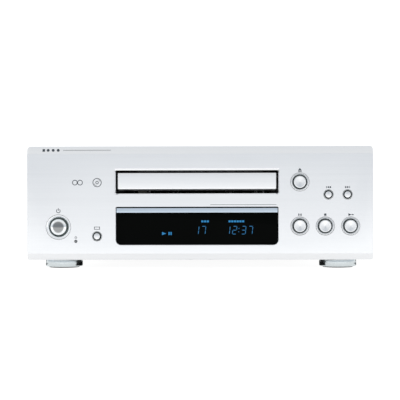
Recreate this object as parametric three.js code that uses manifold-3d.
// Compact disc player: a bevelled aluminium front on a sheet-metal case, with a motor-driven disc tray,
// a rising traverse that carries the turntable and the pickup, eight sprung buttons and four turned feet.
// Millimetres. +X is the player's right seen from the front, the front looks along -Y, +Z is up.
// The origin lies on the resting plane, under the middle of the player.

import * as THREE from "three";
import { mergeVertices } from "three/addons/utils/BufferGeometryUtils.js";
import Module from "manifold-3d";

const wasm = await Module();
wasm.setup();

// ---------------------------------------------------------------- driving dimensions

// Whole player.
const panelWidth = 275;
const panelHeight = 90.4;
const overallDepth = 286; // button faces to the ends of the output jacks
const panelRise = 7.4; // resting plane to the panel's lower edge

// Clearances.
const restGap = 0.3; // between pieces that only lie close
const slideGap = 0.5; // between pieces that slide or turn on each other
const through = 1; // how far a cutting shape runs past the face it cuts

// Front panel.
const capProud = 1.5;
const panelWall = 4;
const panelDepth = 10;
const panelRim = 3; // rim round the pocket in the panel's back
const topBevelHeight = 6.1;
const topBevelDepth = 2.4;
const lowBevelHeight = 5.1;
const lowBevelDepth = 2.0;

// Tray opening and display window, both on the tray's centre line.
const trayCentreX = -2.15;
const openingWidth = 129.1;
const openingHeight = 18.45;
const openingRise = 52.75; // panel's lower edge to the opening's lower edge
const openingBevel = 1.5;
const windowWidth = 129.2;
const windowHeight = 29.9;
const windowRise = 12.1;
const windowRadius = 4;
const tubeHalf = 50; // display tube, behind the window
const tubeRise = 4.5; // window's lower edge to the tube's lower edge
const tubeHeight = 19.5;
const tubeDepth = 4.4;

// Buttons: place from the panel's left or right edge and lower edge, cap radius, countersink width.
const buttonTravel = 1.0;
const stemRadius = 1.6;
const buttons = [
  { name: "power_button", left: 25.0, rise: 26.2, cap: 6.3, sink: 2.1, gap: 1.3, dome: 1.2 },
  { name: "display_button", left: 55.8, rise: 18.9, cap: 2.5, sink: 0.45, gap: 0.8, dome: 0.2 },
  { name: "eject_button", right: 58.0, rise: 61.8, cap: 4.8, sink: 1.6, gap: 0.8, dome: 0.3 },
  { name: "previous_button", right: 35.4, rise: 51.8, cap: 2.5, sink: 0.45, gap: 0.8, dome: 0.2 },
  { name: "next_button", right: 20.3, rise: 51.8, cap: 2.5, sink: 0.45, gap: 0.8, dome: 0.2 },
  { name: "pause_button", right: 58.0, rise: 26.8, cap: 4.8, sink: 1.6, gap: 0.8, dome: 0.3 },
  { name: "stop_button", right: 37.95, rise: 26.8, cap: 4.8, sink: 1.6, gap: 0.8, dome: 0.3 },
  { name: "play_button", right: 17.9, rise: 26.8, cap: 4.8, sink: 1.6, gap: 0.8, dome: 0.3 },
];
const ledRadius = 1.05;
const ledLeft = 38.9;
const ledRise = 14.9;

// Case.
const sheet = 1;
const coverInset = 1.5; // panel's end to the cover's side
const coverStep = 1; // panel's top to the cover's top
const baseStep = 1.6; // panel's lower edge to the base's underside
const flangeHeight = 13;
const jackLength = 9; // output jacks, proud of the rear panel

// Feet.
const footRadius = 15;
const footInset = 26.2; // panel's end to the foot's axis
const frontFootBack = 31; // panel's face to the front foot's axis
const rearFootForward = 30; // rear face to the rear foot's axis
const padRadius = 12.5;
const padHeight = 2.1;
const padProud = 0.8;

// Disc tray.
const discRadius = 60;
const discPlay = 0.75;
const smallDiscRadius = 40;
const discCentreBack = 72.5; // panel's face to the disc's centre
const doorHeight = 14.2;
const doorSideGap = 1.45;
const doorLowGap = 2.3;
const doorRecess = 0.3;
const doorThickness = 3.8;
const trayRim = 1.25; // well's edge to the tray's side
const trayTravel = 133;
const trayTail = 104; // disc's centre to the tray's rear edge
const deckTopRise = 11.85; // opening's lower edge to the tray's top
const deckThickness = 6.5;
const railDrop = 2.5;
const railWidth = 4.5;
const wellDepth = 3.5;
const smallWellDepth = 1.2;
const slotHalfWidth = 22;
const slotBack = 66; // disc's centre to the slot's rear end

// Gearing: one module throughout, with shortened teeth.
const gearModule = 1;
const pressureAngle = THREE.MathUtils.degToRad(20);
const addendum = 0.75 * gearModule;
const dedendum = 1.1 * gearModule;
const backlash = 0.35;
const trayPinionTeeth = 20;
const trayWheelTeeth = 24;
const pulleyPinionTeeth = 12;
const sledPinionTeeth = 12;
const sledWheelTeeth = 24;
const motorPinionTeeth = 10;
const pulleyRadius = 11.5;
const motorPulleyRadius = 4;
const pulleySpacing = 42;
const beltThickness = 1;
const rackBacking = 3; // behind a rack's pitch line

// Loader frame and clamp.
const loaderWall = 4;
const loaderBack = 131; // disc's centre to the loader's rear edge
const bridgeThickness = 1.8;
const clampRadius = 16;
const clampNeck = 7;

// Traverse: drawn raised, carried on a hinge behind the disc and resting lowered.
const liftAngle = THREE.MathUtils.degToRad(6);
const hingeBack = 115; // disc's centre to the hinge
const traverseRib = 2;
const pivotReach = 7; // traverse's side to the end of its pivot
const traverseLength = 132; // hinge to the front edge
const traversePlate = 3;
const pivotRadius = 3;
const camPinRadius = 2;
const camPinReach = 135.5; // hinge to the middle of the cam slider
const camTravel = 24;
const camThickness = 4;
const camWall = 3;
const platterRadius = 15;
const rodRadius = 1.5;
const rodSpread = 24;
const lensStart = 23; // disc's centre to the lens at the innermost track
const sledTravel = 34;
const sledLength = 26;
const sledHalfWidth = 19;
const sledBossRadius = 3; // bearings on the guide rods
const sledWheelThickness = 1.8;
const rackOverrun = 4; // rack beyond its gear at each end of the travel
const rodRestLength = 3;

// Fittings in the rear, from the panel's left or right edge, and the electronics.
const inletLeft = 36;
const inletHalfX = 11;
const inletHalfZ = 7.5;
const jackRight = 98;
const opticalRight = 62;
const remoteRight = 34;
const fittingRise = 30; // base to the fittings' middle
const jackSpread = 9; // middle to each output jack
const jackHole = 5;
const boardThickness = 1.6;
const mainBoardRise = 8; // on its pillars
const cableHalf = 8;

// ---------------------------------------------------------------- places worked out from the sizes

const halfWidth = panelWidth / 2;
const faceY = -overallDepth / 2 + capProud;
const wallBackY = faceY + panelWall;
const panelBackY = faceY + panelDepth;
const rearY = overallDepth / 2 - jackLength;
const panelBottomZ = panelRise;
const panelTopZ = panelBottomZ + panelHeight;

const coverHalf = halfWidth - coverInset;
const coverTopZ = panelTopZ - coverStep;
const coverFrontY = panelBackY + restGap;
const baseBottomZ = panelBottomZ + baseStep;
const baseTopZ = baseBottomZ + sheet;
const baseHalf = coverHalf - sheet - restGap;

const openingBottomZ = panelBottomZ + openingRise;
const openingTopZ = openingBottomZ + openingHeight;
const windowBottomZ = panelBottomZ + windowRise;
const windowTopZ = windowBottomZ + windowHeight;
const tubeBottomZ = windowBottomZ + tubeRise;
const tubeTopZ = tubeBottomZ + tubeHeight;

const buttonX = (button) => ("left" in button ? button.left - halfWidth : halfWidth - button.right);
const buttonZ = (button) => panelBottomZ + button.rise;
const ledX = ledLeft - halfWidth;
const ledZ = panelBottomZ + ledRise;

const frameFrontY = wallBackY + 2.7;
const frameBackY = frameFrontY + 1.2;
const boardFrontY = frameBackY + 5.2;
const boardBackY = boardFrontY + boardThickness;
const stemEndY = frameBackY + 1.2;
const plungerY = stemEndY + buttonTravel + 0.1;

const discY = faceY + discCentreBack;
const trayTopZ = openingBottomZ + deckTopRise;
const deckBottomZ = trayTopZ - deckThickness;
const railBottomZ = deckBottomZ - railDrop;
const doorBackY = faceY + doorRecess + doorThickness;
const trayFrontY = doorBackY + restGap;
const trayBackY = discY + trayTail;
const wellRadius = discRadius + discPlay;
const trayHalfWidth = wellRadius + trayRim;

// The traverse reaches past the sled's double gear, and the loader past both the tray and the pivots.
const sledGearReach = sledBossRadius + dedendum + restGap + addendum
  + ((sledPinionTeeth + sledWheelTeeth) * gearModule) / 2;
const traverseHalfWidth = rodSpread + sledGearReach + slideGap + traverseRib;
const loaderInner = Math.max(trayHalfWidth, traverseHalfWidth + pivotReach) + slideGap;
const loaderOuter = loaderInner + loaderWall;
const loaderFrontY = boardBackY + 2.8;
const loaderBackY = discY + loaderBack;
const loaderTopZ = trayTopZ + 4;

const rackPitchX = trayCentreX - trayHalfWidth + 7;
const gearY = loaderFrontY + 14;
const trayGearX = rackPitchX + (trayPinionTeeth * gearModule) / 2;
const pulleyGearX = trayGearX + ((trayWheelTeeth + pulleyPinionTeeth) * gearModule) / 2;
const motorX = pulleyGearX + pulleySpacing;
const gearTopZ = deckBottomZ - slideGap;
const pinionBottomZ = railBottomZ - 1.2;
const wheelTopZ = pinionBottomZ - 3.3;
const wheelBottomZ = wheelTopZ - 3;
const pulleyTopZ = wheelBottomZ - 1.5;
const pulleyBottomZ = pulleyTopZ - 3.5;
const deckPlateTopZ = pulleyBottomZ - 1;
const deckPlateBottomZ = deckPlateTopZ - 3;

const hingeY = discY + hingeBack;
const hingeZ = trayTopZ - 16;
const traverseTopZ = hingeZ;
const traverseBottomZ = traverseTopZ - traversePlate;
const traverseFrontY = hingeY - traverseLength;
const camY = hingeY - camPinReach;
const camPinX = trayCentreX + 12;
const camWallY = camY - camThickness / 2 - 2 - camWall;
const camLift = camPinReach * Math.sin(liftAngle);
const camTopZ = hingeZ + 4;
const camBottomZ = hingeZ - camLift - 4;
const wheelZ = traverseTopZ + slideGap;
const rodZ = wheelZ + sledWheelThickness + slideGap + sledBossRadius;
const sledBottomZ = wheelZ + sledWheelThickness + 2 * restGap;
const sledTopZ = deckBottomZ - 2 * restGap;
const lensY = discY + lensStart;
const sledFrontY = lensY - 7;
const sledBackY = sledFrontY + sledLength;
const sledRackPitchX = trayCentreX - rodSpread - sledBossRadius - dedendum - restGap;
const sledGearX = sledRackPitchX - (sledPinionTeeth * gearModule) / 2;
const sledGearY = lensY + 30;
const sledMotorY = sledGearY + ((sledWheelTeeth + motorPinionTeeth) * gearModule) / 2;
const rodFrontY = discY + 9;
const rodBackY = sledGearY + rackOverrun + sledTravel + slideGap + rodRestLength;
const platterTopZ = trayTopZ - 0.6;
const discThickness = 1.2;
const clampBottomZ = platterTopZ + discThickness + 0.7;
const bridgeBottomZ = loaderTopZ;
const bridgeTopZ = bridgeBottomZ + bridgeThickness;

const inletX = inletLeft - halfWidth;
const jackX = halfWidth - jackRight;
const opticalX = halfWidth - opticalRight;
const remoteX = halfWidth - remoteRight;
const fittingZ = baseTopZ + fittingRise;

const electronicsY = rearY - 5; // rear edge of the main board
const mainBoardLeft = 82 - halfWidth;
const mainBoardRight = halfWidth - 8;
const mainBoardFront = loaderBackY + 8;
const mainBoardZ = baseTopZ + mainBoardRise;
const mainBoardTopZ = mainBoardZ + boardThickness;
const sinkX = mainBoardLeft + 72;
const capacitorX = [mainBoardLeft + 32, mainBoardLeft + 54];
const cableX = trayCentreX + loaderOuter + 14;
const cableTopZ = baseTopZ + 18;

// ---------------------------------------------------------------- shapes

const toZ = new THREE.Matrix4().makeRotationX(Math.PI / 2);
const toX = new THREE.Matrix4().makeRotationZ(-Math.PI / 2);
const acrossX = new THREE.Matrix4().makeBasis(
  new THREE.Vector3(0, 1, 0),
  new THREE.Vector3(0, 0, 1),
  new THREE.Vector3(1, 0, 0),
);

// A closed geometry as a solid that can be joined and cut.
function solid(geometry) {
  geometry.deleteAttribute("normal");
  geometry.deleteAttribute("uv");
  const merged = mergeVertices(geometry, 1e-4);
  return new wasm.Manifold(
    new wasm.Mesh({
      numProp: 3,
      vertProperties: merged.attributes.position.array,
      triVerts: new Uint32Array(merged.index.array),
    }),
  );
}

function join(solids) {
  return solids.reduce((whole, next) => whole.add(next));
}

function cut(whole, tools) {
  return tools.reduce((left, tool) => left.subtract(tool), whole);
}

function block([x0, x1], [y0, y1], [z0, z1]) {
  const geometry = new THREE.BoxGeometry(x1 - x0, y1 - y0, z1 - z0);
  return solid(geometry.translate((x0 + x1) / 2, (y0 + y1) / 2, (z0 + z1) / 2));
}

// A [radius, height] profile spun about an axis along X, Y or Z.
function spun(profile, segments) {
  return new THREE.LatheGeometry(profile.map(([r, h]) => new THREE.Vector2(r, h)), segments);
}

function turnedY(profile, x, z, segments = 24) {
  return solid(spun(profile, segments).translate(x, 0, z));
}

function turnedZ(profile, x, y, segments = 24) {
  return solid(spun(profile, segments).applyMatrix4(toZ).translate(x, y, 0));
}

function turnedX(profile, y, z, segments = 24) {
  return solid(spun(profile, segments).applyMatrix4(toX).translate(0, y, z));
}

function rodProfile(radius, from, to) {
  return [[0, from], [radius, from], [radius, to], [0, to]];
}

function outline(points) {
  return new THREE.Shape(points.map(([a, b]) => new THREE.Vector2(a, b)));
}

function extruded(shape, depth) {
  return new THREE.ExtrudeGeometry(shape, { depth, bevelEnabled: false, curveSegments: 5 });
}

// An outline in X and Y, from z0 up to z1.
function level(shape, z0, z1) {
  return solid(extruded(shape, z1 - z0).translate(0, 0, z0));
}

// An outline in X and Z, from y0 back to y1.
function facing(shape, y0, y1) {
  return solid(extruded(shape, y1 - y0).applyMatrix4(toZ).translate(0, y1, 0));
}

// An outline in Y and Z, from x0 across to x1.
function across(shape, x0, x1) {
  return solid(extruded(shape, x1 - x0).applyMatrix4(acrossX).translate(x0, 0, 0));
}

function roundedRect(x0, x1, z0, z1, lowRadius, topRadius) {
  const shape = new THREE.Shape();
  shape.moveTo(x0 + lowRadius, z0);
  shape.lineTo(x1 - lowRadius, z0);
  shape.absarc(x1 - lowRadius, z0 + lowRadius, lowRadius, -Math.PI / 2, 0);
  shape.absarc(x1 - topRadius, z1 - topRadius, topRadius, 0, Math.PI / 2);
  shape.absarc(x0 + topRadius, z1 - topRadius, topRadius, Math.PI / 2, Math.PI);
  shape.absarc(x0 + lowRadius, z0 + lowRadius, lowRadius, Math.PI, Math.PI * 1.5);
  shape.closePath();
  return shape;
}

// A rectangle of half-sizes that runs from one point to another with round ends.
function slotOutline([ax, az], [bx, bz], radius) {
  const angle = Math.atan2(bz - az, bx - ax);
  const shape = new THREE.Shape();
  shape.absarc(ax, az, radius, angle + Math.PI / 2, angle + Math.PI * 1.5);
  shape.absarc(bx, bz, radius, angle - Math.PI / 2, angle + Math.PI / 2);
  shape.closePath();
  return shape;
}

// ---------------------------------------------------------------- gearing

// Involute gear outline, with one tooth centred on the given direction.
function gearOutline(teeth, direction) {
  const pitch = (teeth * gearModule) / 2;
  const base = pitch * Math.cos(pressureAngle);
  const roll = (radius) => {
    const angle = Math.acos(Math.min(1, base / radius));
    return Math.tan(angle) - angle;
  };
  const half = ((Math.PI * gearModule) / 2 - backlash) / 2 / pitch;
  const halfAt = (radius) => half + roll(pitch) - roll(Math.max(radius, base));
  const levels = [pitch - dedendum, pitch + addendum];
  const points = [];
  for (let tooth = 0; tooth < teeth; tooth += 1) {
    const centre = direction + (tooth * 2 * Math.PI) / teeth;
    for (const radius of levels) {
      points.push([radius, centre - halfAt(radius)]);
    }
    for (const radius of [...levels].reverse()) {
      points.push([radius, centre + halfAt(radius)]);
    }
  }
  return outline(points.map(([radius, angle]) => [radius * Math.cos(angle), radius * Math.sin(angle)]));
}

function gear(teeth, direction, x, y, z0, z1) {
  return level(gearOutline(teeth, direction), z0, z1).translate([x, y, 0]);
}

// Half a pitch, so that a gap faces the given direction instead of a tooth.
const gapFacing = (direction, teeth) => direction + Math.PI / teeth;

// Straight rack along Y with teeth towards side (+1 or -1 along X), one tooth centred on toothY.
function rack(pitchX, side, backX, yFrom, yTo, toothY, z0, z1) {
  const step = Math.PI * gearModule;
  const half = (step / 2 - backlash) / 2;
  const rootHalf = half + dedendum * Math.tan(pressureAngle);
  const tipHalf = half - addendum * Math.tan(pressureAngle);
  const rootX = pitchX - side * dedendum;
  const tipX = pitchX + side * addendum;
  const first = Math.ceil((yFrom + rootHalf - toothY) / step);
  const last = Math.floor((yTo - rootHalf - toothY) / step);
  const points = [[backX, yTo], [backX, yFrom], [rootX, yFrom]];
  for (let tooth = first; tooth <= last; tooth += 1) {
    const y = toothY + tooth * step;
    points.push([rootX, y - rootHalf], [tipX, y - tipHalf], [tipX, y + tipHalf], [rootX, y + rootHalf]);
  }
  points.push([rootX, yTo]);
  return level(outline(points), z0, z1);
}

// ---------------------------------------------------------------- the player's tree

const player = new THREE.Group();

function finish(color, roughness, metalness) {
  return { color, roughness, metalness };
}

const finishes = {
  silver: finish(0xe4e7ea, 0.38, 0.9),
  satin: finish(0xd9dcdf, 0.3, 0.9),
  mirror: finish(0xc9ccd0, 0.08, 1),
  smoked: finish(0x07080b, 0.08, 0),
  lampGlass: finish(0x10161c, 0.1, 0),
  casePaint: finish(0xc3c6c9, 0.45, 0.6),
  zinc: finish(0xa9adb0, 0.4, 0.9),
  moulded: finish(0x1b1c1e, 0.55, 0),
  acetal: finish(0xd8d6cf, 0.45, 0),
  board: finish(0x1e5a33, 0.6, 0),
  steel: finish(0x9a9da1, 0.3, 0.95),
  copper: finish(0x8e5b34, 0.5, 0.5),
  rubber: finish(0x141415, 0.9, 0),
  lens: finish(0x3a5f8a, 0.05, 0),
  white: finish(0xe8e8e6, 0.4, 0),
  red: finish(0xb02020, 0.4, 0),
  lamp: finish(0x2e3033, 0.35, 0),
};

function add(name, manifold, look, parent = player) {
  const { vertProperties, triVerts } = manifold.getMesh();
  const indexed = new THREE.BufferGeometry();
  indexed.setAttribute("position", new THREE.BufferAttribute(vertProperties, 3));
  indexed.setIndex(new THREE.BufferAttribute(triVerts, 1));
  const geometry = indexed.toNonIndexed();
  geometry.computeVertexNormals();
  const mesh = new THREE.Mesh(geometry, new THREE.MeshStandardMaterial(finishes[look]));
  mesh.name = name;
  parent.add(mesh);
}

// ---------------------------------------------------------------- front

// Box whose front is wider than its back, which cuts the bevel round the tray opening.
function openingBevelCut() {
  const geometry = new THREE.BoxGeometry(openingWidth, openingBevel, openingHeight);
  const place = geometry.attributes.position;
  const spread = openingBevel * 0.5;
  for (let i = 0; i < place.count; i += 1) {
    if (place.getY(i) < 0) {
      place.setX(i, place.getX(i) + Math.sign(place.getX(i)) * spread);
      place.setZ(i, place.getZ(i) + (place.getZ(i) > 0 ? openingBevel : -spread));
    }
  }
  geometry.translate(trayCentreX, faceY + openingBevel / 2, (openingBottomZ + openingTopZ) / 2);
  return solid(geometry);
}

function buttonHole(button) {
  const hole = button.cap + button.gap;
  const sinkRadius = hole + button.sink;
  const profile = [
    [0, faceY - through],
    [sinkRadius, faceY - through],
    [sinkRadius, faceY],
    [hole, faceY + button.sink],
    [hole, wallBackY + through],
    [0, wallBackY + through],
  ];
  return turnedY(profile, buttonX(button), buttonZ(button), button.cap > 4 ? 24 : 14);
}

function frontPanel() {
  const section = outline([
    [faceY, panelBottomZ + lowBevelHeight],
    [faceY + lowBevelDepth, panelBottomZ + 0.4],
    [faceY + lowBevelDepth + 0.8, panelBottomZ],
    [panelBackY, panelBottomZ],
    [panelBackY, panelTopZ],
    [faceY + topBevelDepth + 0.8, panelTopZ],
    [faceY + topBevelDepth, panelTopZ - 0.4],
    [faceY, panelTopZ - topBevelHeight],
  ]);
  const pocket = block(
    [-halfWidth + panelRim, halfWidth - panelRim],
    [wallBackY, panelBackY + through],
    [panelBottomZ + panelRim, panelTopZ - panelRim],
  );
  const opening = roundedRect(
    trayCentreX - openingWidth / 2, trayCentreX + openingWidth / 2, openingBottomZ, openingTopZ, 1, 1,
  );
  const window = roundedRect(
    trayCentreX - windowWidth / 2, trayCentreX + windowWidth / 2, windowBottomZ, windowTopZ, windowRadius, 1,
  );
  return cut(across(section, -halfWidth, halfWidth), [
    pocket,
    facing(opening, faceY - through, wallBackY + through),
    openingBevelCut(),
    facing(window, faceY - through, wallBackY + through),
    ...buttons.map(buttonHole),
    turnedY(rodProfile(ledRadius + 0.2, faceY - through, wallBackY + through), ledX, ledZ, 12),
  ]);
}

function frontButton(button) {
  const hole = button.cap + button.gap;
  const capY = faceY - capProud;
  const flange = hole + 1.2;
  const profile = [
    [0, capY],
    [button.cap * 0.7, capY + button.dome * 0.5],
    [button.cap, capY + button.dome + 0.4],
    [button.cap, wallBackY + restGap],
    [flange, wallBackY + restGap],
    [flange, wallBackY + restGap + 1.2],
    [stemRadius, wallBackY + restGap + 1.2],
    [stemRadius, stemEndY],
    [0, stemEndY],
  ];
  return turnedY(profile, buttonX(button), buttonZ(button), button.cap > 4 ? 24 : 12);
}

// Moulded plate that guides the button stems, backs the window and carries the control board.
function frontFrame() {
  const edge = panelRim + slideGap;
  const plate = block(
    [-halfWidth + edge, halfWidth - edge],
    [frameFrontY, frameBackY],
    [panelBottomZ + edge, panelTopZ - edge],
  );
  const posts = [];
  for (const x of [-halfWidth + 8, halfWidth - 8]) {
    for (const z of [panelBottomZ + 12, openingBottomZ - 6]) {
      posts.push(turnedY(rodProfile(2.5, wallBackY, boardFrontY), x, z, 8));
    }
  }
  const trayWindow = block(
    [trayCentreX - openingWidth / 2 - 1.5, trayCentreX + openingWidth / 2 + 1.5],
    [frameFrontY - through, frameBackY + through],
    [openingBottomZ - 1.5, openingTopZ + 1.5],
  );
  const tubeWindow = block(
    [trayCentreX - tubeHalf - 1.5, trayCentreX + tubeHalf + 1.5],
    [frameFrontY - through, frameBackY + through],
    [tubeBottomZ - 1.5, tubeTopZ + 1.5],
  );
  const guides = buttons.map((button) => turnedY(
    rodProfile(stemRadius + slideGap, frameFrontY - through, frameBackY + through),
    buttonX(button), buttonZ(button), 8,
  ));
  const ledHole = turnedY(rodProfile(2, frameFrontY - through, frameBackY + through), ledX, ledZ, 8);
  return cut(join([plate, ...posts]), [trayWindow, tubeWindow, ...guides, ledHole]);
}

function displayWindow() {
  const fit = 0.2;
  const half = windowWidth / 2 - fit;
  const lip = 2;
  const pane = roundedRect(
    trayCentreX - half, trayCentreX + half, windowBottomZ + fit, windowTopZ - fit, windowRadius - fit,
    1 - fit,
  );
  const flange = roundedRect(
    trayCentreX - half - lip, trayCentreX + half + lip, windowBottomZ - lip, windowTopZ + lip, 1, 1,
  );
  return join([
    facing(pane, faceY + 0.3, wallBackY + restGap + 0.5),
    facing(flange, wallBackY + restGap, wallBackY + restGap + 1.4),
  ]);
}

function displayTube() {
  const glass = block(
    [trayCentreX - tubeHalf, trayCentreX + tubeHalf], [frameFrontY + 0.4, frameFrontY + 0.4 + tubeDepth],
    [tubeBottomZ, tubeTopZ],
  );
  const tip = turnedX(rodProfile(1.6, trayCentreX + tubeHalf - 1, trayCentreX + tubeHalf + 1.2),
    frameBackY + 1.5, (tubeBottomZ + tubeTopZ) / 2, 10);
  return glass.add(tip);
}

function standbyLamp() {
  const profile = [
    [0, faceY - 0.3],
    [ledRadius * 0.7, faceY],
    [ledRadius, faceY + 0.6],
    [ledRadius, wallBackY + restGap],
    [1.5, wallBackY + restGap],
    [1.5, boardFrontY],
    [0, boardFrontY],
  ];
  return turnedY(profile, ledX, ledZ, 12);
}

// Control board, notched round the tray, with one push switch behind each button.
function frontBoard() {
  const left = -halfWidth + 5;
  const right = halfWidth - 5;
  const low = panelBottomZ + 10;
  const step = trayCentreX + openingWidth / 2 + 3;
  const board = outline([
    [left, low], [right, low], [right, panelTopZ - 5], [step, panelTopZ - 5],
    [step, openingBottomZ - 3.5], [left, openingBottomZ - 3.5],
  ]);
  const switches = buttons.map((button) => {
    const [x, z] = [buttonX(button), buttonZ(button)];
    const body = block([x - 3, x + 3], [plungerY + 0.7, boardFrontY + 0.2], [z - 3, z + 3]);
    return body.add(turnedY(rodProfile(1.75, plungerY, boardFrontY), x, z, 10));
  });
  const socket = block(
    [cableX - cableHalf - 2, cableX + cableHalf + 2], [boardBackY - 0.2, boardBackY + 4],
    [cableTopZ - 3, cableTopZ + 3],
  );
  return join([facing(board, boardFrontY, boardBackY), ...switches, socket]);
}

// ---------------------------------------------------------------- disc tray and loader

function trayDoor() {
  const low = openingBottomZ + doorLowGap;
  const high = low + doorHeight;
  const front = faceY + doorRecess;
  const section = outline([
    [front, low + 1.7], [front + 0.5, low + 0.5], [front + 1.6, low], [doorBackY, low],
    [doorBackY, high], [front + 0.9, high], [front, high - 0.9],
  ]);
  const half = openingWidth / 2 - doorSideGap;
  return across(section, trayCentreX - half, trayCentreX + half);
}

function discTray() {
  const left = trayCentreX - trayHalfWidth;
  const right = trayCentreX + trayHalfWidth;
  const deck = block([left, right], [trayFrontY, trayBackY], [deckBottomZ, trayTopZ]);
  const rails = [[left, left + railWidth], [right - railWidth, right]].map((span) => block(
    span, [trayFrontY, trayBackY], [railBottomZ, deckBottomZ + 1],
  ));
  const teeth = rack(
    rackPitchX, 1, rackPitchX - rackBacking, gearY - 8, gearY + trayTravel + 6, gearY,
    pinionBottomZ - 0.2, deckBottomZ + 0.5,
  );
  const wellFloorZ = trayTopZ - wellDepth;
  const well = turnedZ(rodProfile(wellRadius, wellFloorZ, trayTopZ + through), trayCentreX, discY, 48);
  const floorZ = wellFloorZ - smallWellDepth;
  const smallWell = turnedZ(rodProfile(smallDiscRadius + discPlay, floorZ, trayTopZ), trayCentreX, discY, 36);
  const slot = level(
    slotOutline([trayCentreX, discY], [trayCentreX, discY + slotBack - slotHalfWidth], slotHalfWidth),
    deckBottomZ - through, trayTopZ + through,
  );
  return cut(join([deck, ...rails, teeth]), [well, smallWell, slot]);
}

// Side walls with the tray's guide ledges, the gear deck, the cam guide, the hinge lugs and four legs.
function loaderFrame() {
  const x = (offset) => trayCentreX + offset;
  const walls = [];
  for (const side of [-1, 1]) {
    const span = (a, b) => (side < 0 ? [x(-b), x(-a)] : [x(a), x(b)]);
    walls.push(block(span(loaderInner, loaderOuter), [loaderFrontY, loaderBackY], [hingeZ - 16, loaderTopZ]));
    walls.push(block(
      span(trayHalfWidth - 3.3, loaderInner + 1), [loaderFrontY, trayBackY + 5],
      [railBottomZ - 2.6, railBottomZ - 0.4],
    ));
    for (const y of [loaderFrontY + 4, trayBackY - 20]) {
      walls.push(block(
        span(trayHalfWidth - 2.5, loaderInner + 1), [y, y + 10], [trayTopZ + slideGap, loaderTopZ],
      ));
    }
    for (const y of [loaderFrontY + 2, loaderBackY - 12]) {
      walls.push(block(span(loaderOuter - 8, loaderOuter), [y, y + 8], [baseTopZ, hingeZ - 15]));
    }
    walls.push(block(
      span(traverseHalfWidth + 1, traverseHalfWidth + 6), [hingeY - 5, loaderBackY - 7],
      [hingeZ - 6, hingeZ + 5],
    ));
  }
  const inside = [x(-loaderInner - 1), x(loaderInner + 1)];
  const gearDeck = block(inside, [loaderFrontY, camWallY + camWall], [deckPlateBottomZ, deckPlateTopZ]);
  const camBack = block([x(-26), x(50)], [camWallY, camWallY + camWall], [camBottomZ - 3.5, camTopZ]);
  const camLedge = block([x(-26), x(46)], [camWallY, camY + 1.5], [camBottomZ - 3.5, camBottomZ - slideGap]);
  const rearBar = block(inside, [loaderBackY - 8, loaderBackY], [hingeZ - 16, hingeZ + 4]);
  const gearPost = turnedZ(rodProfile(2, deckPlateBottomZ, gearTopZ), trayGearX, gearY, 12);
  const pulleyPost = turnedZ(rodProfile(1.5, deckPlateBottomZ, wheelTopZ + 0.5), pulleyGearX, gearY, 12);
  const motorHole = turnedZ(
    rodProfile(3, deckPlateBottomZ - through, deckPlateTopZ + through), motorX, gearY, 12,
  );
  const pivotHole = turnedX(
    rodProfile(pivotRadius + restGap, x(-loaderInner + 1), x(loaderInner - 1)), hingeY, hingeZ, 14,
  );
  const frame = join([...walls, gearDeck, camBack, camLedge, rearBar, gearPost, pulleyPost]);
  return cut(frame, [motorHole, pivotHole]);
}

// Sliding plate whose slanted slot lifts the traverse's pin.
function camSlider() {
  const low = [camPinX, hingeZ - camLift];
  const high = [camPinX - camTravel, hingeZ];
  const plate = block(
    [high[0] - 10, low[0] + 10], [camY - camThickness / 2, camY + camThickness / 2], [camBottomZ, camTopZ],
  );
  const slot = facing(
    slotOutline([low[0] + 0.8, low[1] - 0.3], [high[0] - 0.8, high[1] + 0.3], camPinRadius + slideGap),
    camY - camThickness, camY + camThickness,
  );
  return plate.subtract(slot);
}

function loadingMotor() {
  const top = deckPlateBottomZ - restGap;
  const can = turnedZ(
    [[0, top - 24], [11, top - 24], [12, top - 23], [12, top], [2.6, top], [2.6, top - 0.8], [0, top - 0.8]],
    motorX, gearY, 24,
  );
  return can.add(turnedZ(rodProfile(4, top - 26, top - 23), motorX, gearY, 12));
}

// Grooved rim for a flat belt.
function groovedProfile(radius, bore, z0, z1) {
  return [
    [bore, z0], [radius + 1, z0], [radius, z0 + 0.8], [radius, z1 - 0.8], [radius + 1, z1], [bore, z1],
    [bore, z0],
  ];
}

function motorPulley() {
  const wheel = turnedZ(
    groovedProfile(motorPulleyRadius, 0.9, pulleyBottomZ, pulleyTopZ), motorX, gearY, 20,
  );
  const shaft = turnedZ(rodProfile(1, deckPlateBottomZ - restGap - 0.5, pulleyTopZ + 1), motorX, gearY, 10);
  return wheel.add(shaft);
}

function pulleyGear() {
  const bore = 1.5 + restGap;
  const wheel = turnedZ(
    groovedProfile(pulleyRadius, bore, pulleyBottomZ, pulleyTopZ), pulleyGearX, gearY, 24,
  );
  const pinion = gear(
    pulleyPinionTeeth, gapFacing(Math.PI, pulleyPinionTeeth), pulleyGearX, gearY, pulleyTopZ - 0.2, wheelTopZ,
  );
  const hole = turnedZ(
    rodProfile(bore, pulleyBottomZ - through, wheelTopZ + through), pulleyGearX, gearY, 24,
  );
  return wheel.add(pinion.subtract(hole));
}

function trayGear() {
  const bore = 2 + restGap;
  const wheel = gear(trayWheelTeeth, 0, trayGearX, gearY, wheelBottomZ, wheelTopZ);
  const pinion = gear(
    trayPinionTeeth, gapFacing(Math.PI, trayPinionTeeth), trayGearX, gearY, pinionBottomZ, gearTopZ,
  );
  const hub = turnedZ(rodProfile(4, deckPlateTopZ + restGap, pinionBottomZ + 0.5), trayGearX, gearY, 12);
  const hole = turnedZ(rodProfile(bore, deckPlateTopZ - through, gearTopZ + through), trayGearX, gearY, 12);
  return join([wheel, pinion, hub]).subtract(hole);
}

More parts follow.
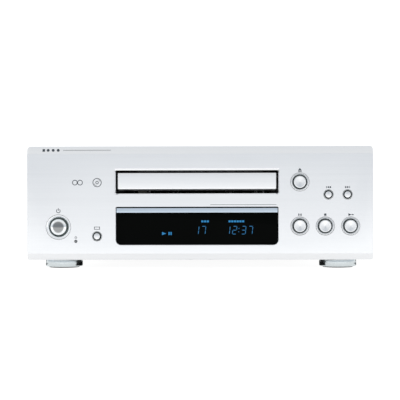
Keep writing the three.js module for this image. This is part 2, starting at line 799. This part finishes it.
// Flat belt round both pulleys.
function driveBelt() {
  const loop = (shape, offset) => {
    const big = pulleyRadius + restGap + offset;
    const small = motorPulleyRadius + restGap + offset;
    const lean = Math.acos((big - small) / pulleySpacing);
    shape.absarc(pulleyGearX, gearY, big, lean, 2 * Math.PI - lean);
    shape.absarc(motorX, gearY, small, -lean, lean);
    shape.closePath();
    return shape;
  };
  const belt = loop(new THREE.Shape(), beltThickness);
  belt.holes.push(loop(new THREE.Path(), 0));
  return level(belt, pulleyBottomZ + 1, pulleyTopZ - 1);
}

function clampBridge() {
  const span = [trayCentreX - loaderOuter, trayCentreX + loaderOuter];
  const [front, back] = [discY - 17, discY + 17];
  const plate = block(span, [front, back], [bridgeBottomZ, bridgeTopZ]);
  const ribs = [[front, front + 1.5], [back - 1.5, back]].map((rib) => block(
    span, rib, [bridgeBottomZ, bridgeTopZ + 3],
  ));
  const hole = turnedZ(
    rodProfile(clampNeck + 1.5, bridgeBottomZ - through, bridgeTopZ + through), trayCentreX, discY, 24,
  );
  return cut(join([plate, ...ribs]), [hole]);
}

function threeHoles(radius, spread, z0, z1) {
  return [0, 1, 2].map((i) => {
    const angle = (i * 2 * Math.PI) / 3;
    const [x, y] = [trayCentreX + spread * Math.cos(angle), discY + spread * Math.sin(angle)];
    return turnedZ(rodProfile(radius, z0, z1), x, y, 8);
  });
}

function discClamp() {
  const flangeZ = bridgeTopZ + slideGap;
  const flange = clampNeck + 3.5;
  const puck = turnedZ([
    [0, clampBottomZ], [clampRadius - 0.8, clampBottomZ], [clampRadius, clampBottomZ + 0.8],
    [clampRadius, bridgeBottomZ - slideGap], [clampNeck, bridgeBottomZ - slideGap],
    [clampNeck, flangeZ], [flange, flangeZ], [flange, flangeZ + 1.4], [0, flangeZ + 1.4],
  ], trayCentreX, discY, 24);
  return cut(puck, threeHoles(1.3, 6, flangeZ - 0.4, flangeZ + 2));
}

// ---------------------------------------------------------------- traverse, in its raised place

const traverse = new THREE.Group();
traverse.position.set(0, -hingeY, -hingeZ);
const hinge = new THREE.Group();
hinge.position.set(0, hingeY, hingeZ);
hinge.rotation.x = liftAngle;
hinge.add(traverse);
player.add(hinge);

function traverseFrame() {
  const x = (offset) => trayCentreX + offset;
  const backY = hingeY + 4;
  const half = traverseHalfWidth;
  const plate = block([x(-half), x(half)], [traverseFrontY, backY], [traverseBottomZ, traverseTopZ]);
  const ribs = [[x(-half), x(-half + traverseRib)], [x(half - traverseRib), x(half)]].map((span) => block(
    span, [traverseFrontY, backY], [traverseBottomZ, traverseTopZ + 3.5],
  ));
  const frontRib = block(
    [x(-half), x(half)], [traverseFrontY, traverseFrontY + 2.5], [traverseBottomZ, traverseTopZ + 3],
  );
  const pivots = turnedX(
    rodProfile(pivotRadius, x(-half - pivotReach), x(half + pivotReach)), hingeY, hingeZ, 14,
  );
  const pivotGap = block(
    [x(-half + 1), x(half - 1)], [hingeY - 4, backY + through], [traverseTopZ, traverseTopZ + 5],
  );
  const pin = turnedY(
    rodProfile(camPinRadius, camY - camThickness / 2 - 1, traverseFrontY + 1), camPinX, hingeZ, 14,
  );
  const rests = [];
  for (const side of [-1, 1]) {
    for (const y of [rodFrontY, rodBackY - rodRestLength]) {
      rests.push(block(
        [x(side * rodSpread - 3), x(side * rodSpread + 3)], [y, y + rodRestLength],
        [traverseBottomZ, rodZ + 2.2],
      ));
    }
  }
  const rods = [-1, 1].map((side) => turnedY(
    rodProfile(rodRadius + restGap, rodFrontY - through, rodBackY + through), x(side * rodSpread), rodZ, 12,
  ));
  const gearPost = turnedZ(rodProfile(1.5, traverseBottomZ, sledTopZ - 2.5), sledGearX, sledGearY, 12);
  const opening = block(
    [x(-sledHalfWidth - 1), x(sledHalfWidth + 1)], [sledFrontY, sledBackY + sledTravel + 2],
    [traverseBottomZ - through, traverseTopZ + through],
  );
  const motorHole = turnedZ(
    rodProfile(3.3, traverseBottomZ - through, traverseTopZ + through), trayCentreX, discY, 16,
  );
  const sledMotorHole = turnedZ(
    rodProfile(2.5, traverseBottomZ - through, traverseTopZ + through), sledGearX, sledMotorY, 12,
  );
  return cut(
    join([plate, ...ribs, frontRib, pivots.subtract(pivotGap), pin, ...rests, gearPost]),
    [...rods, opening, motorHole, sledMotorHole],
  );
}

function guideRod(side) {
  return turnedY(
    rodProfile(rodRadius, rodFrontY + 0.4, rodBackY - 0.4), trayCentreX + side * rodSpread, rodZ, 12,
  );
}

function spindleMotor() {
  const top = traverseBottomZ - restGap;
  return turnedZ([
    [0, top - 7.2], [12, top - 7.2], [13, top - 6.4], [13, top], [2.8, top], [2.8, traverseTopZ + 2],
    [1.3, traverseTopZ + 2], [1.3, traverseBottomZ], [0, traverseBottomZ],
  ], trayCentreX, discY, 18);
}

function turntable() {
  const hubZ = traverseTopZ + 4;
  const wheel = turnedZ([
    [0, traverseBottomZ + restGap], [1, traverseBottomZ + restGap], [1, hubZ], [5, hubZ],
    [5, platterTopZ - 2.5], [platterRadius, platterTopZ - 2.5], [platterRadius, platterTopZ],
    [7.4, platterTopZ], [5.5, platterTopZ + 1.4], [0, platterTopZ + 1.4],
  ], trayCentreX, discY, 24);
  return cut(wheel, threeHoles(1.4, 11, platterTopZ - 4, platterTopZ + 1));
}

function pickupSled() {
  const x = (offset) => trayCentreX + offset;
  const body = block([x(-sledHalfWidth), x(sledHalfWidth)], [sledFrontY, sledBackY], [sledBottomZ, sledTopZ]);
  const arms = block([x(-rodSpread), x(rodSpread)], [sledFrontY, sledBackY], [rodZ - 1, rodZ + 1]);
  const bosses = [-1, 1].map((side) => turnedY(
    rodProfile(sledBossRadius, sledFrontY, sledBackY), x(side * rodSpread), rodZ, 12,
  ));
  const holes = [-1, 1].map((side) => turnedY(
    rodProfile(rodRadius + restGap, sledFrontY - through, sledBackY + through), x(side * rodSpread), rodZ, 12,
  ));
  const teeth = rack(
    sledRackPitchX, -1, x(-rodSpread - 1.6), sledGearY - sledTravel - rackOverrun, sledGearY + rackOverrun,
    sledGearY, sledBottomZ, rodZ + 0.8,
  );
  const lensWell = block([x(-7), x(7)], [lensY - 6, lensY + 6], [sledTopZ - 3, sledTopZ + through]);
  const laserWell = turnedX(
    rodProfile(2.6, x(sledHalfWidth) - 4, x(sledHalfWidth) + through), sledBackY - 7, sledBottomZ + 3.6, 12,
  );
  return cut(join([body, arms, ...bosses, teeth]), [...holes, lensWell, laserWell]);
}

function objectiveLens() {
  const low = sledTopZ - 2.2;
  const top = platterTopZ - 1;
  const holder = block([trayCentreX - 6.2, trayCentreX + 6.2], [lensY - 5.2, lensY + 5.2], [low, low + 2.6]);
  const barrel = turnedZ([
    [0, low + 2], [4.2, low + 2], [4.2, top - 1.4], [3, top - 0.7], [1.6, top - 0.15], [0, top],
  ], trayCentreX, lensY, 20);
  return holder.add(barrel);
}

function sledGear() {
  const bore = 1.5 + restGap;
  const top = rodZ + 1;
  const wheel = gear(
    sledWheelTeeth, gapFacing(Math.PI / 2, sledWheelTeeth), sledGearX, sledGearY, wheelZ,
    wheelZ + sledWheelThickness,
  );
  const pinion = gear(
    sledPinionTeeth, gapFacing(0, sledPinionTeeth), sledGearX, sledGearY, wheelZ + 1, top,
  );
  const hole = turnedZ(rodProfile(bore, wheelZ - through, top + through), sledGearX, sledGearY, 14);
  return wheel.add(pinion).subtract(hole);
}

function sledPinion() {
  const shaft = turnedZ(rodProfile(0.9, traverseBottomZ, wheelZ + 1), sledGearX, sledMotorY, 10);
  return gear(
    motorPinionTeeth, -Math.PI / 2, sledGearX, sledMotorY, wheelZ, wheelZ + sledWheelThickness,
  ).add(shaft);
}

function sledMotor() {
  const top = traverseBottomZ - restGap;
  return turnedZ([
    [0, top - 15], [7, top - 15], [8, top - 14], [8, top], [0, top],
  ], sledGearX, sledMotorY, 20);
}

// ---------------------------------------------------------------- case, feet and electronics

function topCover() {
  const inner = coverHalf - sheet;
  const section = outline([
    [-coverHalf, baseBottomZ], [-inner, baseBottomZ], [-inner, coverTopZ - sheet], [inner, coverTopZ - sheet],
    [inner, baseBottomZ], [coverHalf, baseBottomZ], [coverHalf, coverTopZ], [-coverHalf, coverTopZ],
  ]);
  const slots = [];
  const [count, pitch, length] = [9, 9, 34];
  for (const centre of [-70, 70]) {
    for (let i = 0; i < count; i += 1) {
      const y = rearY - 34 - i * pitch;
      slots.push(block(
        [centre - length / 2, centre + length / 2], [y - 1.5, y + 1.5],
        [coverTopZ - sheet - through, coverTopZ + through],
      ));
    }
  }
  return cut(facing(section, coverFrontY, rearY - restGap), slots);
}

// Floor with side flanges and a low front flange behind the panel.
function chassisBase() {
  const frontY = coverFrontY;
  const side = [baseBottomZ, baseBottomZ + flangeHeight];
  return join([
    block([-baseHalf, baseHalf], [frontY, rearY], [baseBottomZ, baseTopZ]),
    block([-baseHalf, -baseHalf + sheet], [frontY, rearY - sheet - restGap], side),
    block([baseHalf - sheet, baseHalf], [frontY, rearY - sheet - restGap], side),
    block([-baseHalf, baseHalf], [frontY, frontY + sheet], [baseBottomZ, baseBottomZ + 7]),
  ]);
}

// Rear fittings: place from the rear panel's left or right end, and above the base.
function rearPanel() {
  const half = coverHalf - sheet - restGap;
  const top = coverTopZ - sheet - restGap;
  const fit = 0.3;
  const plate = block([-half, half], [rearY - sheet, rearY], [baseTopZ, top]);
  const y = [rearY - sheet - through, rearY + through];
  return cut(plate, [
    ...[-1, 1].map((side) => turnedY(rodProfile(jackHole, ...y), jackX, fittingZ + side * jackSpread, 14)),
    block([opticalX - 5 - fit, opticalX + 5 + fit], y, [fittingZ - 5 - fit, fittingZ + 5 + fit]),
    block([remoteX - 10 - fit, remoteX + 10 + fit], y, [fittingZ - 4 - fit, fittingZ + 4 + fit]),
    block([inletX - inletHalfX - fit, inletX + inletHalfX + fit], y,
      [fittingZ - inletHalfZ - fit, fittingZ + inletHalfZ + fit]),
  ]);
}

function outputJack(side) {
  const collar = rearY + 0.2;
  return turnedY([
    [0, rearY - 8], [jackHole - 0.3, rearY - 8], [jackHole - 0.3, collar], [7, collar], [7, collar + 1.4],
    [4.2, collar + 1.4], [4.2, rearY + jackLength], [1.7, rearY + jackLength], [1.7, collar + 1],
    [0, collar + 1],
  ], jackX, fittingZ + side * jackSpread, 14);
}

// A block through the rear panel with a thin flange outside it.
function rearBody(x, halfX, halfZ, depth, flange) {
  const collar = rearY + 0.2;
  return join([
    block([x - halfX, x + halfX], [rearY - depth, collar + 0.5], [fittingZ - halfZ, fittingZ + halfZ]),
    block([x - halfX - flange, x + halfX + flange], [collar, collar + 1.8],
      [fittingZ - halfZ - flange, fittingZ + halfZ + flange]),
  ]);
}

function opticalOutput() {
  const mouth = block([opticalX - 4, opticalX + 4], [rearY - 6, rearY + 4], [fittingZ - 4, fittingZ + 4]);
  return rearBody(opticalX, 5, 5, 10, 2).subtract(mouth);
}

function remoteJacks() {
  const holes = [-5, 5].map((offset) => turnedY(
    rodProfile(1.8, rearY - 8, rearY + 4), remoteX + offset, fittingZ, 14,
  ));
  return cut(rearBody(remoteX, 10, 4, 11, 1.5), holes);
}

// Two-pin inlet: the figure-of-eight socket and its pins.
function mainsInlet() {
  const [mouthY, floorY] = [rearY + 4, rearY - 10];
  const socket = facing(slotOutline([inletX - 4.3, fittingZ], [inletX + 4.3, fittingZ], 4.1), floorY, mouthY);
  const pins = [-4.3, 4.3].map((offset) => turnedY(
    rodProfile(1.2, floorY - 1, rearY + 1), inletX + offset, fittingZ, 12,
  ));
  return join([rearBody(inletX, inletHalfX, inletHalfZ, 16, 2.5).subtract(socket), ...pins]);
}

function powerTransformer() {
  const x = -halfWidth + 38;
  const y = rearY - 50;
  const low = baseTopZ;
  return join([
    block([x - 25, x + 25], [y - 11, y + 11], [low + 1, low + 44]),
    block([x - 17, x + 17], [y - 22, y + 22], [low + 9, low + 36]),
    block([x - 30, x + 30], [y - 11, y + 11], [low, low + 2]),
  ]);
}

function mainBoard() {
  const plate = block(
    [mainBoardLeft, mainBoardRight], [mainBoardFront, electronicsY], [mainBoardZ, mainBoardTopZ],
  );
  const posts = [];
  for (const x of [mainBoardLeft + 6, mainBoardRight - 6]) {
    for (const y of [mainBoardFront + 6, electronicsY - 6]) {
      posts.push(turnedZ(rodProfile(3, baseTopZ, mainBoardZ + 0.5), x, y, 12));
    }
  }
  const chip = (x, y, width, depth, height) => block(
    [x, x + width], [y, y + depth], [mainBoardTopZ - 0.2, mainBoardTopZ + height],
  );
  const middle = (mainBoardFront + electronicsY) / 2;
  return join([
    plate, ...posts,
    chip(cableX - cableHalf - 2, mainBoardFront, 2 * cableHalf + 4, 4, 9),
    chip(mainBoardRight - 30, middle - 8, 14, 14, 2),
    chip(mainBoardRight - 56, middle - 12, 18, 9, 2.6),
    chip(mainBoardLeft + 4, middle - 8, 12, 16, 10),
  ]);
}

function heatSink() {
  const y = mainBoardFront + 16;
  const z = [mainBoardTopZ, mainBoardTopZ + 30];
  const fins = [];
  for (let i = 0; i < 6; i += 1) {
    const x = sinkX + i * 7;
    fins.push(block([x, x + 1.6], [y - 1, y + 16], z));
  }
  return join([block([sinkX, sinkX + 36.6], [y - 3, y], z), ...fins]);
}

function smoothingCapacitor(x) {
  const low = mainBoardTopZ;
  return turnedZ([
    [0, low], [9, low], [9, low + 2], [8.5, low + 2.6], [9, low + 3.2], [9, low + 28], [8.4, low + 29],
    [0, low + 29],
  ], x, mainBoardFront + 24, 14);
}

// Ribbon of even thickness that follows a bent line in Y and Z.
function ribbon(points, thickness) {
  const line = points.map(([y, z]) => new THREE.Vector2(y, z));
  const side = (sign) => line.map((point, i) => {
    const before = line[Math.max(i - 1, 0)];
    const after = line[Math.min(i + 1, line.length - 1)];
    const inward = point.clone().sub(i > 0 ? before : point).normalize();
    const outward = after.clone().sub(i < line.length - 1 ? point : after).normalize();
    const along = inward.add(outward).normalize();
    return [point.x - (sign * along.y * thickness) / 2, point.y + (sign * along.x * thickness) / 2];
  });
  return outline([...side(-1), ...side(1).reverse()]);
}

function flatCable() {
  const floor = baseTopZ + 2;
  const start = boardBackY + 4 + restGap;
  const end = mainBoardFront - restGap;
  const route = [
    [start, cableTopZ], [start + 4, cableTopZ - 2], [start + 6, floor + 2], [start + 9, floor],
    [end - 14, floor], [end - 9, floor + 3], [end - 6, mainBoardTopZ + 4], [end, mainBoardTopZ + 5],
  ];
  return across(ribbon(route, 0.6), cableX - cableHalf, cableX + cableHalf);
}

function foot(x, y) {
  const recess = padRadius + 0.4;
  return turnedZ([
    [0, padHeight], [recess, padHeight], [recess, padProud], [footRadius - 0.6, padProud],
    [footRadius, padProud + 0.6], [footRadius, baseBottomZ - 0.5], [footRadius - 0.5, baseBottomZ],
    [0, baseBottomZ],
  ], x, y, 24);
}

function footPad(x, y) {
  return turnedZ(rodProfile(padRadius, 0, padHeight), x, y, 16);
}

// ---------------------------------------------------------------- assembly

add("front_panel", frontPanel(), "silver");
add("front_frame", frontFrame(), "moulded");
add("display_window", displayWindow(), "smoked");
add("display_tube", displayTube(), "lampGlass");
add("front_board", frontBoard(), "board");
add("standby_lamp", standbyLamp(), "lamp");
for (const button of buttons) {
  add(button.name, frontButton(button), button.name === "power_button" ? "mirror" : "satin");
}

add("tray_door", trayDoor(), "silver");
add("disc_tray", discTray(), "moulded");
add("loader_frame", loaderFrame(), "moulded");
add("cam_slider", camSlider(), "acetal");
add("loading_motor", loadingMotor(), "steel");
add("motor_pulley", motorPulley(), "acetal");
add("pulley_gear", pulleyGear(), "acetal");
add("tray_gear", trayGear(), "acetal");
add("drive_belt", driveBelt(), "rubber");
add("clamp_bridge", clampBridge(), "zinc");
add("disc_clamp", discClamp(), "moulded");

add("traverse_frame", traverseFrame(), "moulded", traverse);
add("guide_rod_left", guideRod(-1), "steel", traverse);
add("guide_rod_right", guideRod(1), "steel", traverse);
add("spindle_motor", spindleMotor(), "steel", traverse);
add("turntable", turntable(), "moulded", traverse);
add("pickup_sled", pickupSled(), "zinc", traverse);
add("objective_lens", objectiveLens(), "lens", traverse);
add("sled_gear", sledGear(), "acetal", traverse);
add("sled_pinion", sledPinion(), "acetal", traverse);
add("sled_motor", sledMotor(), "steel", traverse);

add("top_cover", topCover(), "casePaint");
add("chassis_base", chassisBase(), "zinc");
add("rear_panel", rearPanel(), "casePaint");
add("output_jack_left", outputJack(1), "white");
add("output_jack_right", outputJack(-1), "red");
add("optical_output", opticalOutput(), "moulded");
add("remote_jacks", remoteJacks(), "moulded");
add("mains_inlet", mainsInlet(), "moulded");
add("power_transformer", powerTransformer(), "copper");
add("main_board", mainBoard(), "board");
add("heat_sink", heatSink(), "steel");
capacitorX.forEach((x, i) => add(`smoothing_capacitor_${i + 1}`, smoothingCapacitor(x), "lampGlass"));
add("flat_cable", flatCable(), "white");

const footX = halfWidth - footInset;
const footPlaces = {
  front_left: [-footX, faceY + frontFootBack],
  front_right: [footX, faceY + frontFootBack],
  rear_left: [-footX, rearY - rearFootForward],
  rear_right: [footX, rearY - rearFootForward],
};
for (const [corner, [x, y]] of Object.entries(footPlaces)) {
  add(`foot_${corner}`, foot(x, y), "satin");
  add(`foot_pad_${corner}`, footPad(x, y), "rubber");
}

export default player;
